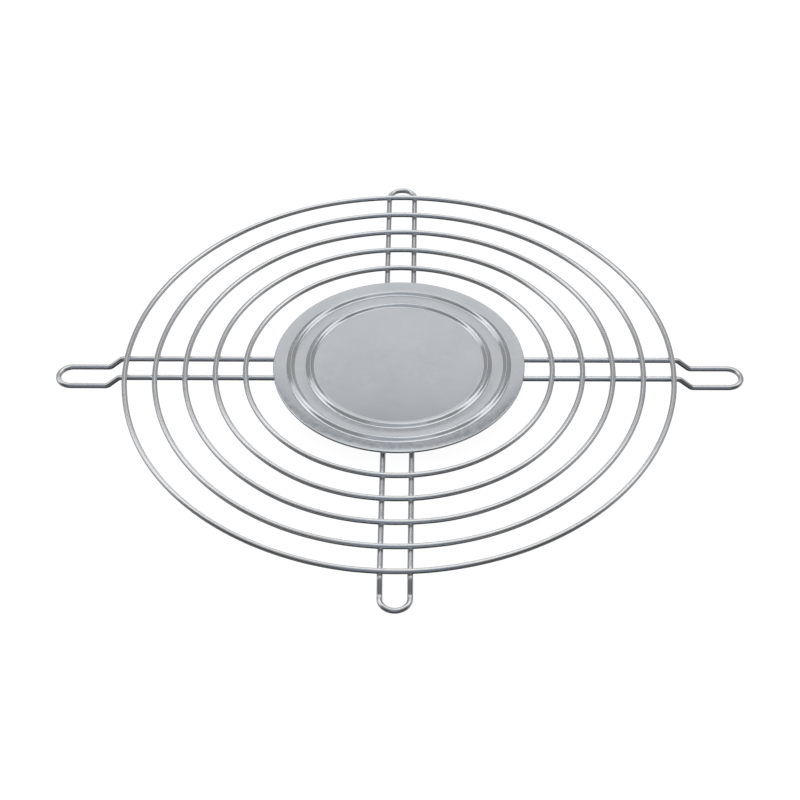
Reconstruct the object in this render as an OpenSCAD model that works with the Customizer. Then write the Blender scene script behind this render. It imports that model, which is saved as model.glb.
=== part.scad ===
// Wire fan guard: six concentric rings on four hairpin arms, with a stamped
// centre disc. The guard stands on the undersides of its four screw loops:
// z = 0 is the mounting plane, +Z points away from the fan, the long loops
// lie along X and the short ones along Y. Everything is resistance welded.
// All lengths in millimetres.

/* [Wire] */
// diameter of the round steel wire used for rings and arms
wire_d = 2.1; // [1.6:0.1:2.5]
// how far a ring sinks into the wire below it at each weld
set_down = 0.45; // [0.2:0.05:0.6]

/* [Rings] */
// centreline radius of the outermost ring
outer_r = 109; // [107:0.5:109.5]
// centreline distance from one ring to the next
ring_pitch = 12; // [11.5:0.25:12]
// centreline radius of the carrier ring hidden under the disc
carrier_r = 47; // [46.5:0.25:47.25]

/* [Arms] */
// centre distance between the two wires of one arm
leg_gap = 11; // [9:0.5:13]
// distance from the guard centre to the cut ends of the arm wires
leg_start = 44.6; // [42:0.2:45]
// height that the arms step down from the ring side to the screw loops
drop = 4.5; // [3.5:0.25:6]
// centreline radius of the two step bends
bend_r = 2.6; // [2.2:0.1:3]
// distance from the centre at which the step of a long arm begins
long_step = 110.2; // [110.2:0.2:112]
// distance from the centre at which the step of a short arm begins
short_step = 109.4; // [109.4:0.2:110.4]
// straight length of the screw loop on a long arm
long_land = 13.8; // [4:0.2:20]
// straight length of the screw loop on a short arm
short_land = 0.2; // [0.2:0.2:8]

/* [Disc] */
// diameter of the stamped centre disc
disc_d = 100; // [99:0.5:102]
// sheet thickness
sheet = 0.8; // [0.6:0.1:1]
// height of the two pressed beads above the sheet
bead_h = 0.9; // [0.7:0.1:1.3]
// radius of the crest of the outer bead
bead_1_r = 42.9; // [42.5:0.1:43.6]
// radius of the crest of the inner bead
bead_2_r = 35.3; // [34:0.1:37]
// width of the inward slope of a bead, seen from above
bead_in = 1.6; // [1.3:0.1:2]
// width of the outward slope of a bead, seen from above
bead_out = 1.8; // [1.3:0.1:2]

/* [Output] */
// which piece to draw

/* [Hidden] */
$fn = 64;
wire_r = wire_d / 2;
loop_z = wire_r;                         // wire centre of the screw loops
leg_z = loop_z + drop;                   // wire centre of the arms
ring_z = leg_z + wire_d - set_down;      // wire centre of the rings
disc_z = ring_z + wire_r - 0.35;         // underside of the disc rim
weld_z = (leg_z + ring_z) / 2;           // both wires are flattened to this level at a weld
seat = wire_d / 2 + 0.15;                // half length of that flat
half_gap = leg_gap / 2;
fall = atan2(10296, 11753);              // slope of the step, 41.2 degrees from level
slope = (drop - 2 * bend_r * (1 - cos(fall))) / sin(fall); // straight part of the step

// ring n, counted from the outside; ring 6 is the carrier under the disc
function ring_radius(n) = n == 6 ? carrier_r : outer_r - (n - 1) * ring_pitch;

module steel() { color([0.74, 0.75, 0.77]) children(); }
module sheet_steel() { color([0.68, 0.70, 0.72]) children(); }

// where ring n crosses the wires of an arm along +X
function cross_x(n) = sqrt(pow(ring_radius(n), 2) - pow(half_gap, 2));

module ring_blank(r) {
  translate([0, 0, ring_z]) rotate_extrude($fn = 180)
    translate([r, 0]) circle(r = wire_r, $fn = 32);
}

// a ring, flattened by the spot welds where it crosses the eight arm wires
module ring(n) {
  steel() difference() {
    ring_blank(ring_radius(n));
    for (a = [0, 90, 180, 270], y = [-half_gap, half_gap]) rotate([0, 0, a])
      translate([cross_x(n) - 1.6, y - seat, weld_z - 2]) cube([3.2, 2 * seat, 2]);
  }
}

// the innermost ring is also flattened where the disc is welded on it
module carrier_ring() {
  difference() {
    ring(6);
    translate([0, 0, disc_z]) cylinder(h = 5, r = disc_d / 2, $fn = 180);
  }
}

// straight arm wire of length h along +X
module run(h) { rotate([0, 90, 0]) cylinder(h = h, d = wire_d, $fn = 32); }

// a downward bend that starts at the origin heading along +X; the children
// carry on from its end
module bend_down() {
  translate([0, 0, -bend_r]) {
    difference() {
      rotate([90, 0, 0]) rotate_extrude(angle = 90)
        translate([bend_r, 0]) circle(r = wire_r, $fn = 32);
      rotate([0, fall, 0]) translate([0, -3, -3]) cube([10, 6, 10]);
    }
    rotate([0, fall, 0]) translate([0, 0, bend_r]) children();
  }
}

// the same bend the other way up
module bend_up() { mirror([0, 0, 1]) bend_down() mirror([0, 0, 1]) children(); }

// one side of a hairpin along +X, from its cut end to the loop; the children
// start where it stops
module side_wire(step_at, land) {
  translate([leg_start, half_gap, leg_z]) {
    run(step_at - leg_start);
    translate([step_at - leg_start, 0, 0]) bend_down() {
      run(slope);
      translate([slope, 0, 0]) bend_up() {
        run(land);
        translate([land, 0, 0]) children();
      }
    }
  }
}

// half-round of the screw loop, back to the other side of the hairpin
module half_round() {
  translate([0, -half_gap, 0]) rotate([0, 0, -90]) rotate_extrude(angle = 180, $fn = 96)
    translate([half_gap, 0]) circle(r = wire_r, $fn = 32);
}

// hairpin arm along +X: two legs with a step down, joined by the half-round,
// and flattened by the spot welds under each ring
module hairpin(step_at, land) {
  steel() difference() {
    union() {
      side_wire(step_at, land) half_round();
      mirror([0, 1, 0]) side_wire(step_at, land);
    }
    for (n = [1:6], y = [-half_gap, half_gap])
      translate([cross_x(n) - seat, y - 1.5, weld_z]) cube([2 * seat, 3, 2]);
  }
}

// cross-section of a bead with its crest at radius c: points [radius, rise]
function bead(c) = concat(
  [for (i = [0 : 5]) let (t = i / 6) [c - bead_in * (1 - t), bead_h * (1 - cos(180 * t)) / 2]],
  [for (i = [0 : 6]) let (t = i / 6) [c + bead_out * t, bead_h * (1 + cos(180 * t)) / 2]]);

// stamped disc: flat, with two round beads pressed up out of it as stiffeners
module centre_disc() {
  r = disc_d / 2;
  line = concat([[0, 0]], bead(bead_2_r), bead(bead_1_r), [[r, 0]]);
  n = len(line);
  sheet_steel() rotate_extrude($fn = 180) polygon(concat(
    [for (p = line) [p[0], disc_z + p[1]]],
    [for (i = [n - 1 : -1 : 0]) [line[i][0], disc_z + sheet + line[i][1]]]));
}

centre_disc();
ring(1);  // ring_1
ring(2);  // ring_2
ring(3);  // ring_3
ring(4);  // ring_4
ring(5);  // ring_5
carrier_ring();  // ring_6
hairpin(long_step, long_land);  // arm_east
rotate([0, 0, 90]) hairpin(short_step, short_land);  // arm_north
rotate([0, 0, 180]) hairpin(long_step, long_land);  // arm_west
rotate([0, 0, 270]) hairpin(short_step, short_land);  // arm_south
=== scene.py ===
import math
import random

import bpy
from mathutils import Matrix, Vector


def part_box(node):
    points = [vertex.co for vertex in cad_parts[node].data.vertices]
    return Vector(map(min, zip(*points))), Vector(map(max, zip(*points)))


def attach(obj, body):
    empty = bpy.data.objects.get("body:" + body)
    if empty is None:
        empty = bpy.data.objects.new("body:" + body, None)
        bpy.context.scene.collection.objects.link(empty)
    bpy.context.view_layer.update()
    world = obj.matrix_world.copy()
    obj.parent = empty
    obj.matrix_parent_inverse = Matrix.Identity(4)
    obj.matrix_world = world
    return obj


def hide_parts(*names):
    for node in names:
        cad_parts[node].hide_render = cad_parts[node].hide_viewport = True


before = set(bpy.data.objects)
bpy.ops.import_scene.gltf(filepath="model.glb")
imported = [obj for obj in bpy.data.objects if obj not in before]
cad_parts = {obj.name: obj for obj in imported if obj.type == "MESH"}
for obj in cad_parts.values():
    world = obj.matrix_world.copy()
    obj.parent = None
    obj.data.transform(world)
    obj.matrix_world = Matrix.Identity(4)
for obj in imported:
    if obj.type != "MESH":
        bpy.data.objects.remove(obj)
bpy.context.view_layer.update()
MM = 0.001
rng = random.Random(7)


def box_mm(node):
    lo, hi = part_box(node)
    return [c * 1000 for c in lo], [c * 1000 for c in hi]


# ---- sizes in millimetres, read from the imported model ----
WR = 1.05                                   # wire radius
RADII, RING_Z = [], 0.0
for n in range(1, 7):
    lo, hi = box_mm("ring_%d" % n)
    RADII.append((hi[0] - lo[0]) / 2 - WR)
    if n == 1:
        RING_Z = hi[2] - WR
RADII = [round(r * 4) / 4 for r in RADII]
lo, hi = box_mm("arm_east")
LOOP_Z = lo[2] + WR
LEG_Z = hi[2] - WR
LEG_START = lo[0]
LONG_TIP = hi[0] - WR
HALF_GAP = (hi[1] - lo[1]) / 2 - WR
lo, hi = box_mm("arm_north")
SHORT_TIP = hi[1] - WR
lo, hi = box_mm("centre_disc")
DISC_R, DISC_Z, DISC_TOP = (hi[0] - lo[0]) / 2, lo[2], hi[2]
WELD_Z = (LEG_Z + RING_Z) / 2
BEND_R, FALL, SHEET = 2.6, math.atan2(10296, 11753), 0.8
LONG_STEP, SHORT_STEP = 110.2, 109.4
DROP = LEG_Z - LOOP_Z


def smooth(a, b, x):
    t = min(max((x - a) / (b - a), 0.0), 1.0)
    return t * t * (3 - 2 * t)


def make(name, verts, faces, mat):
    me = bpy.data.meshes.new(name)
    me.from_pydata([(x * MM, y * MM, z * MM) for x, y, z in verts], [], faces)
    me.update()
    for p in me.polygons:
        p.use_smooth = True
    me.materials.append(mat)
    ob = bpy.data.objects.new(name, me)
    bpy.context.scene.collection.objects.link(ob)
    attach(ob, "root")
    return ob


# ---------------------------------------------------------------- materials
def nodes_of(mat):
    mat.use_nodes = True
    nt = mat.node_tree
    nt.nodes.clear()
    out = nt.nodes.new("ShaderNodeOutputMaterial")
    bsdf = nt.nodes.new("ShaderNodeBsdfPrincipled")
    nt.links.new(bsdf.outputs[0], out.inputs[0])
    return nt, bsdf


def noise(nt, vec, scale, detail=3.0, rough=0.5):
    n = nt.nodes.new("ShaderNodeTexNoise")
    n.inputs["Scale"].default_value = scale
    n.inputs["Detail"].default_value = detail
    n.inputs["Roughness"].default_value = rough
    nt.links.new(vec, n.inputs["Vector"])
    return n.outputs["Fac"]


def ramp(nt, fac, stops):
    r = nt.nodes.new("ShaderNodeValToRGB")
    e = r.color_ramp.elements
    while len(e) < len(stops):
        e.new(0.5)
    for el, (pos, col) in zip(e, stops):
        el.position = pos
        el.color = (*col, 1) if len(col) == 3 else col
    nt.links.new(fac, r.inputs[0])
    return r.outputs[0]


def spread(nt, fac, low, high):
    m = nt.nodes.new("ShaderNodeMapRange")
    m.inputs["From Min"].default_value = 0.3
    m.inputs["From Max"].default_value = 0.7
    m.inputs["To Min"].default_value = low
    m.inputs["To Max"].default_value = high
    nt.links.new(fac, m.inputs["Value"])
    return m.outputs[0]


def plated(name, tint_a, tint_b, rough, bump, grain):
    """Bright plated steel: a slow colour drift, cloudy plating and a fine grain."""
    mat = bpy.data.materials.new(name)
    nt, b = nodes_of(mat)
    tc = nt.nodes.new("ShaderNodeTexCoord")
    obj = tc.outputs["Object"]
    slow = noise(nt, obj, 60, 2.0)
    cloud = noise(nt, obj, 420, 4.0, 0.6)
    fine = noise(nt, obj, grain, 3.0, 0.7)
    col = ramp(nt, slow, [(0.3, tint_a), (0.7, tint_b)])
    nt.links.new(col, b.inputs["Base Color"])
    b.inputs["Metallic"].default_value = 1.0
    nt.links.new(spread(nt, cloud, rough - 0.03, rough + 0.04), b.inputs["Roughness"])
    bm = nt.nodes.new("ShaderNodeBump")
    bm.inputs["Strength"].default_value = bump
    bm.inputs["Distance"].default_value = 0.00002
    nt.links.new(fine, bm.inputs["Height"])
    nt.links.new(bm.outputs[0], b.inputs["Normal"])
    return mat


ring_mat = plated("ring_plating", (0.78, 0.79, 0.81), (0.84, 0.85, 0.86), 0.20, 0.2, 2500)
arm_mat = plated("arm_plating", (0.76, 0.77, 0.79), (0.82, 0.83, 0.845), 0.22, 0.2, 2500)
disc_mat = plated("disc_plating", (0.705, 0.735, 0.762), (0.755, 0.78, 0.805), 0.14, 0.10, 1800)
weld_mat = plated("weld_metal", (0.55, 0.55, 0.56), (0.72, 0.72, 0.73), 0.30, 0.6, 1500)

# ---------------------------------------------------------------- rings
crossings = {}                              # ring number -> x of the crossing with an arm along +X
for n, r in enumerate(RADII, 1):
    crossings[n] = math.sqrt(r * r - HALF_GAP * HALF_GAP)


def ring_angles(r):
    """Angles round a ring, closer together where it crosses the arm wires."""
    marks = []
    for q in range(4):
        for s in (-1, 1):
            marks.append((q * math.pi / 2 + s * math.asin(HALF_GAP / r)) % (2 * math.pi))
    out = set()
    steps = 300 if r > 80 else 240
    for k in range(steps):
        a = 2 * math.pi * k / steps
        if all(abs((a - m + math.pi) % (2 * math.pi) - math.pi) * r > 2.6 for m in marks):
            out.add(round(a, 9))
    for m in marks:
        for j in range(-9, 10):
            out.add(round((m + 0.27 * j / r) % (2 * math.pi), 9))
    return sorted(out), marks


def add_ring(n, butt=None):
    r = RADII[n - 1]
    angs, marks = ring_angles(r)
    sides = 24
    ph = [rng.uniform(0, 6.28) for _ in range(4)]
    verts, faces = [], []
    for a in angs:
        near = min(abs((a - m + math.pi) % (2 * math.pi) - math.pi) * r for m in marks)
        free = smooth(2.0, 14.0, near)
        wob = 0.10 * free * (math.sin(3 * a + ph[0]) + 0.6 * math.sin(7 * a + ph[1]))
        wz = 0.05 * free * (math.sin(4 * a + ph[2]) + 0.5 * math.sin(9 * a + ph[3]))
        flat = 1 - smooth(1.0, 1.75, near)
        swell = 0.0
        if butt is not None:
            d = ((a - butt + math.pi) % (2 * math.pi) - math.pi) * r
            swell = 0.20 * math.exp(-(d / 0.75) ** 2) + 0.10 * math.exp(-((d - 0.9) / 0.4) ** 2)
        rad = WR + swell
        for j in range(sides):
            t = 2 * math.pi * j / sides
            rr = r + wob + rad * math.cos(t) * (1 + 0.05 * flat * (1 if math.sin(t) < 0 else 0))
            z = RING_Z + wz + rad * math.sin(t)
            if z < WELD_Z:
                z += (WELD_Z - z) * flat
            verts.append((rr * math.cos(a), rr * math.sin(a), z))
    m = len(angs)
    for i in range(m):
        for j in range(sides):
            k, l = (i + 1) % m, (j + 1) % sides
            faces.append((i * sides + j, k * sides + j, k * sides + l, i * sides + l))
    if n == 6:                                # flattened where the disc is welded on
        verts = [(x, y, min(z, DISC_Z)) for x, y, z in verts]
    ob = make("wire_ring_%d" % n, verts, faces, ring_mat)
    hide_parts("ring_%d" % n)
    return ob


# ---------------------------------------------------------------- arms
def side_path(step_at, tip):
    """Centreline of one side of a hairpin along +X at y = HALF_GAP, then round the loop."""
    pts = []
    welds = [crossings[n] for n in range(1, 7)]
    xs = {LEG_START + 0.02, LEG_START + 0.1, LEG_START + 0.25, LEG_START + 0.6}
    x = LEG_START + 1.0
    while x < step_at - 0.3:
        if all(abs(x - w) > 1.9 for w in welds):
            xs.add(round(x, 4))
        x += 1.5
    for w in welds:
        for j in range(-7, 8):
            if w + 0.25 * j < step_at - 0.05:
                xs.add(round(w + 0.25 * j, 4))
    for x in sorted(xs):
        pts.append((x, LEG_Z))
    s, c = math.sin(FALL), math.cos(FALL)
    slope = (DROP - 2 * BEND_R * (1 - c)) / s
    for k in range(0, 13):
        t = FALL * k / 12
        pts.append((step_at + BEND_R * math.sin(t), LEG_Z - BEND_R * (1 - math.cos(t))))
    x1, z1 = pts[-1]
    for k in range(1, 7):
        pts.append((x1 + slope * c * k / 6, z1 - slope * s * k / 6))
    x2, z2 = pts[-1]
    for k in range(1, 13):
        t = FALL * (1 - k / 12)
        pts.append((x2 + BEND_R * (s - math.sin(t)), LOOP_Z + BEND_R * (1 - math.cos(t))))
    x3 = pts[-1][0]
    xl = tip - HALF_GAP
    n = max(1, int((xl - x3) / 1.0))
    for k in range(1, n):
        pts.append((x3 + (xl - x3) * k / n, LOOP_Z))
    path = [(x, HALF_GAP, z) for x, z in pts]
    for k in range(0, 41):
        t = math.pi / 2 - math.pi * k / 40
        path.append((xl + HALF_GAP * math.cos(t), HALF_GAP * math.sin(t), LOOP_Z))
    path += [(x, -HALF_GAP, z) for x, z in reversed(pts)]
    clean = [path[0]]
    for p in path[1:]:
        if (Vector(p) - Vector(clean[-1])).length > 0.015:
            clean.append(p)
    return clean


def add_arm(name, turn, step_at, tip):
    path = [Vector(p) for p in side_path(step_at, tip)]
    sides = 24
    verts, faces = [], []
    m = len(path)
    up = Vector((0, 0, 1))
    for i, p in enumerate(path):
        t = (path[min(i + 1, m - 1)] - path[max(i - 1, 0)]).normalized()
        side = up.cross(t).normalized()      # horizontal, so the frame never twists
        top = t.cross(side).normalized()
        end = min((p - path[0]).length, (p - path[-1]).length)
        rad = WR - 0.16 * (1 - smooth(0.0, 0.24, end))
        near = 9.0
        if p.z > LEG_Z - 0.3:
            near = min(abs(p.x - crossings[n]) for n in range(1, 7))
        flat = 1 - smooth(1.0, 1.7, near)
        for j in range(sides):
            a = 2 * math.pi * j / sides
            v = p + rad * (math.cos(a) * side * (1 + 0.05 * flat * (1 if math.sin(a) > 0 else 0)) + math.sin(a) * top)
            if v.z > WELD_Z and flat > 0:
                v.z -= (v.z - WELD_Z) * flat
            verts.append(v)
    for i in range(m - 1):
        for j in range(sides):
            l = (j + 1) % sides
            faces.append((i * sides + j, i * sides + l, (i + 1) * sides + l, (i + 1) * sides + j))
    faces.append(tuple(range(sides)))
    faces.append(tuple((m - 1) * sides + j for j in reversed(range(sides))))
    rot = Matrix.Rotation(turn, 3, "Z")
    ob = make("wire_" + name, [tuple(rot @ v) for v in verts], faces, arm_mat)
    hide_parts(name)
    return ob


# ---------------------------------------------------------------- welds
def add_welds(n):
    """The metal squeezed out between ring n and the eight arm wires."""
    verts, faces = [], []
    r = RADII[n - 1]
    nu, nv = 14, 8
    for q in range(4):
        for s in (-1, 1):
            ang = q * math.pi / 2
            cx, cy = crossings[n], s * HALF_GAP
            ax, ay, az = (1.13 + rng.uniform(-0.05, 0.08), 1.13 + rng.uniform(-0.05, 0.08), 0.30 + rng.uniform(0, 0.06))
            base = len(verts)
            for i in range(nv + 1):
                f = -math.pi / 2 + math.pi * i / nv
                for k in range(nu):
                    t = 2 * math.pi * k / nu
                    g = 1 + 0.05 * math.sin(3 * t + q + s + n)
                    x = cx + ax * g * math.cos(f) * math.cos(t)
                    y = cy + ay * g * math.cos(f) * math.sin(t)
                    z = WELD_Z + az * math.sin(f)
                    verts.append((x * math.cos(ang) - y * math.sin(ang), x * math.sin(ang) + y * math.cos(ang), z))
            for i in range(nv):
                for k in range(nu):
                    l = (k + 1) % nu
                    a, b = base + i * nu + k, base + i * nu + l
                    c, d = base + (i + 1) * nu + l, base + (i + 1) * nu + k
                    faces.append((a, b, c, d))
    ob = make("welds_ring_%d" % n, verts, faces, weld_mat)
    return ob


# ---------------------------------------------------------------- disc
BEADS, BEAD_IN, BEAD_OUT = (35.3, 42.9), 1.6, 1.8
BEAD_H = DISC_TOP - DISC_Z - SHEET


def rise(r):
    """How far the two pressed beads lift the sheet at radius r."""
    for c in BEADS:
        d = (r - c) / (BEAD_OUT if r > c else BEAD_IN)
        if abs(d) < 1:
            return BEAD_H * (1 + math.cos(math.pi * d)) / 2
    return 0.0


def disc_profile():
    rs = [0.0, 4, 8, 12, 16, 20, 24, 28, 31, 33.2]
    for c in BEADS:
        rs += [c - BEAD_IN + BEAD_IN * k / 12 for k in range(12)]
        rs += [c + BEAD_OUT * k / 12 for k in range(13)]
        rs += [c + BEAD_OUT + 0.6, c + BEAD_OUT + 1.6]
    top = [(r, DISC_Z + SHEET + rise(r)) for r in rs if r < DISC_R - 1]
    edge = []
    for k in range(9):                        # the blanked edge, rolled over a little on top
        t = math.pi / 2 * k / 8
        edge.append((DISC_R - 0.3 * (1 - math.sin(t)), DISC_Z + SHEET - 0.3 * (1 - math.cos(t))))
    edge += [(DISC_R, DISC_Z + 0.06), (DISC_R - 0.06, DISC_Z)]
    under = [(r, DISC_Z + rise(r)) for r in reversed(rs) if r < DISC_R - 1]
    return top + edge + under


def add_disc():
    seg = 288
    verts, faces, rows = [], [], []
    for x, z in disc_profile():
        if x < 1e-6:
            rows.append([len(verts)])
            verts.append((0, 0, z))
        else:
            rows.append(list(range(len(verts), len(verts) + seg)))
            for k in range(seg):
                t = 2 * math.pi * k / seg
                verts.append((x * math.cos(t), x * math.sin(t), z))
    for a, b in zip(rows, rows[1:]):
        for k in range(seg):
            l = (k + 1) % seg
            if len(a) == 1:
                faces.append((a[0], b[k], b[l]))
            elif len(b) == 1:
                faces.append((a[k], b[0], a[l]))
            else:
                faces.append((a[k], b[k], b[l], a[l]))
    ob = make("disc_sheet", verts, faces, disc_mat)
    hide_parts("centre_disc")
    return ob


for n in range(1, 7):
    add_ring(n, butt={1: math.radians(65.6)}.get(n))
    add_welds(n)
add_arm("arm_east", 0.0, LONG_STEP, LONG_TIP)
add_arm("arm_west", math.pi, LONG_STEP, LONG_TIP)
add_arm("arm_north", math.pi / 2, SHORT_STEP, SHORT_TIP)
add_arm("arm_south", -math.pi / 2, SHORT_STEP, SHORT_TIP)
add_disc()

# ---------------------------------------------------------------- stage
floor_mat = bpy.data.materials.new("floor_pale")
nt, b = nodes_of(floor_mat)
b.inputs["Base Color"].default_value = (0.12, 0.12, 0.12, 1)
b.inputs["Roughness"].default_value = 0.9
b.inputs["Specular IOR Level"].default_value = 0.0
b.inputs["Emission Color"].default_value = (1, 1, 1, 1)
b.inputs["Emission Strength"].default_value = 0.95
me = bpy.data.meshes.new("floor")
me.from_pydata([(-6, -6, -0.0002), (6, -6, -0.0002), (6, 6, -0.0002), (-6, 6, -0.0002)], [], [(0, 1, 2, 3)])
me.materials.append(floor_mat)
floor = bpy.data.objects.new("floor", me)
bpy.context.scene.collection.objects.link(floor)
floor.visible_glossy = False


def soft_box(name, az, el, dist, width, height, level, glossy=True, roll=0.0):
    """A soft box seen from the guard at azimuth az (0 = +Y, 90 = +X) and elevation el, in degrees."""
    a, e = math.radians(az), math.radians(el)
    pos = Vector((math.sin(a) * math.cos(e), math.cos(a) * math.cos(e), math.sin(e))) * dist
    lamp = bpy.data.lights.new(name, "AREA")
    lamp.shape = "RECTANGLE"
    lamp.size, lamp.size_y = width, height
    lamp.energy = level * math.pi * width * height
    ob = bpy.data.objects.new(name, lamp)
    ob.location = pos
    ob.rotation_euler = pos.to_track_quat("Z", "Y").to_euler()
    bpy.context.scene.collection.objects.link(ob)
    ob.visible_camera = False
    ob.visible_glossy = glossy
    return ob


soft_box("box_back", 0, -4, 1.5, 0.85, 1.05, 0.56)
soft_box("box_back_high", 0, 32, 1.5, 0.75, 0.70, 0.41)
soft_box("box_top_back", 10, 62, 1.5, 1.6, 0.55, 0.74)
soft_box("box_top", 60, 82, 1.5, 1.1, 0.8, 0.37)
soft_box("box_over", 180, 67, 1.5, 1.2, 0.5, 0.27)
soft_box("box_east", 86, 8, 1.5, 0.95, 1.5, 0.09)
soft_box("box_east_high", 66, 44, 1.5, 1.0, 0.6, 0.65)
soft_box("box_west", 283, 18, 1.5, 1.0, 1.0, 0.50)
soft_box("box_west_high", 302, 46, 1.5, 0.9, 0.5, 0.84)
soft_box("fill_floor", 0, 90, 2.0, 3.0, 3.0, 0.8, glossy=False)

world = bpy.data.worlds.new("studio")
bpy.context.scene.world = world
world.use_nodes = True
nt = world.node_tree
nt.nodes.clear()
out = nt.nodes.new("ShaderNodeOutputWorld")
mix = nt.nodes.new("ShaderNodeMixShader")
lp = nt.nodes.new("ShaderNodeLightPath")
seen = nt.nodes.new("ShaderNodeBackground")
seen.inputs[0].default_value = (1, 1, 1, 1)
lit = nt.nodes.new("ShaderNodeBackground")
tc = nt.nodes.new("ShaderNodeTexCoord")
sep = nt.nodes.new("ShaderNodeSeparateXYZ")
nt.links.new(tc.outputs["Generated"], sep.inputs[0])
side = nt.nodes.new("ShaderNodeMapRange")
side.interpolation_type = "SMOOTHSTEP"
side.inputs["From Min"].default_value = -0.55
side.inputs["From Max"].default_value = 0.45
nt.links.new(sep.outputs["Y"], side.inputs["Value"])
height = nt.nodes.new("ShaderNodeMapRange")  # -1..1 to 0..1
height.inputs["From Min"].default_value = -1.0
nt.links.new(sep.outputs["Z"], height.inputs["Value"])
far_side = ramp(nt, height.outputs[0], [
    (0.000, (0.14,) * 3), (0.146, (0.29,) * 3), (0.329, (0.41,) * 3),
    (0.500, (0.35,) * 3), (0.629, (0.35,) * 3), (0.750, (0.31,) * 3),
    (0.854, (0.26, 0.27, 0.29)), (0.941, (0.51,) * 3), (1.000, (0.44,) * 3)])
near_side = ramp(nt, height.outputs[0], [
    (0.000, (0.12,) * 3), (0.146, (0.15,) * 3), (0.329, (0.14,) * 3),
    (0.500, (0.07,) * 3), (0.629, (0.05,) * 3), (0.750, (0.06,) * 3),
    (0.854, (0.27,) * 3), (0.941, (0.31,) * 3), (1.000, (0.23,) * 3)])
near_middle = ramp(nt, height.outputs[0], [
    (0.000, (0.03, 0.03, 0.03)), (0.146, (0.03, 0.03, 0.03)), (0.329, (0.09, 0.10, 0.12)),
    (0.500, (0.15, 0.17, 0.20)), (0.629, (0.22, 0.25, 0.30)), (0.750, (0.24, 0.27, 0.32)),
    (0.854, (0.15, 0.17, 0.20)), (0.941, (0.18, 0.20, 0.24)), (1.000, (0.19, 0.22, 0.26))])
nt.links.new(far_side, lit.inputs[0])
across = nt.nodes.new("ShaderNodeMath")
across.operation = "ABSOLUTE"
nt.links.new(sep.outputs["X"], across.inputs[0])
middle = nt.nodes.new("ShaderNodeMapRange")
middle.interpolation_type = "SMOOTHSTEP"
middle.inputs["From Min"].default_value = 0.22
middle.inputs["From Max"].default_value = 0.42
middle.inputs["To Min"].default_value = 1.0
middle.inputs["To Max"].default_value = 0.0
nt.links.new(across.outputs[0], middle.inputs["Value"])
near_a = nt.nodes.new("ShaderNodeBackground")
near_b = nt.nodes.new("ShaderNodeBackground")
nt.links.new(near_side, near_a.inputs[0])
nt.links.new(near_middle, near_b.inputs[0])
near = nt.nodes.new("ShaderNodeMixShader")
nt.links.new(middle.outputs[0], near.inputs[0])
nt.links.new(near_a.outputs[0], near.inputs[1])
nt.links.new(near_b.outputs[0], near.inputs[2])
turned = nt.nodes.new("ShaderNodeMixShader")
nt.links.new(side.outputs[0], turned.inputs[0])
nt.links.new(near.outputs[0], turned.inputs[1])
nt.links.new(lit.outputs[0], turned.inputs[2])
nt.links.new(lp.outputs["Is Camera Ray"], mix.inputs[0])
nt.links.new(turned.outputs[0], mix.inputs[1])
nt.links.new(seen.outputs[0], mix.inputs[2])
nt.links.new(mix.outputs[0], out.inputs[0])

# ---------------------------------------------------------------- camera
R = 109.0
AIM, TURN, ROLL, LENS = (0.0048, -5.330, 4.888), math.radians(1.10), -0.0100, 89.0
c, s = math.cos(TURN), math.sin(TURN)
eye = Vector(((AIM[0] * c - AIM[1] * s) * R, (AIM[0] * s + AIM[1] * c) * R, AIM[2] * R + RING_Z - 0.5)) * MM
EL = math.radians(43.5)
turn = Matrix.Rotation(TURN, 3, "Z")
back = turn @ Vector((0, -math.cos(EL), math.sin(EL)))
right = turn @ Vector((1, 0, 0))
up = back.cross(right)
back = (back + (right - up) * (0.5 / 1978)).normalized()
up = back.cross(right).normalized()
right = up.cross(back).normalized()
r2 = right * math.cos(ROLL) + up * math.sin(ROLL)
u2 = -right * math.sin(ROLL) + up * math.cos(ROLL)
cam = bpy.data.cameras.new("camera")
cam.lens = LENS
cam.sensor_width = 36
cam.clip_end = 50
cam_ob = bpy.data.objects.new("camera", cam)
bpy.context.scene.collection.objects.link(cam_ob)
cam_ob.matrix_world = Matrix((
    (r2.x, u2.x, back.x, eye.x), (r2.y, u2.y, back.y, eye.y),
    (r2.z, u2.z, back.z, eye.z), (0, 0, 0, 1)))
bpy.context.scene.camera = cam_ob
bpy.context.scene.view_settings.view_transform = "Standard"
bpy.context.scene.view_settings.look = "None"
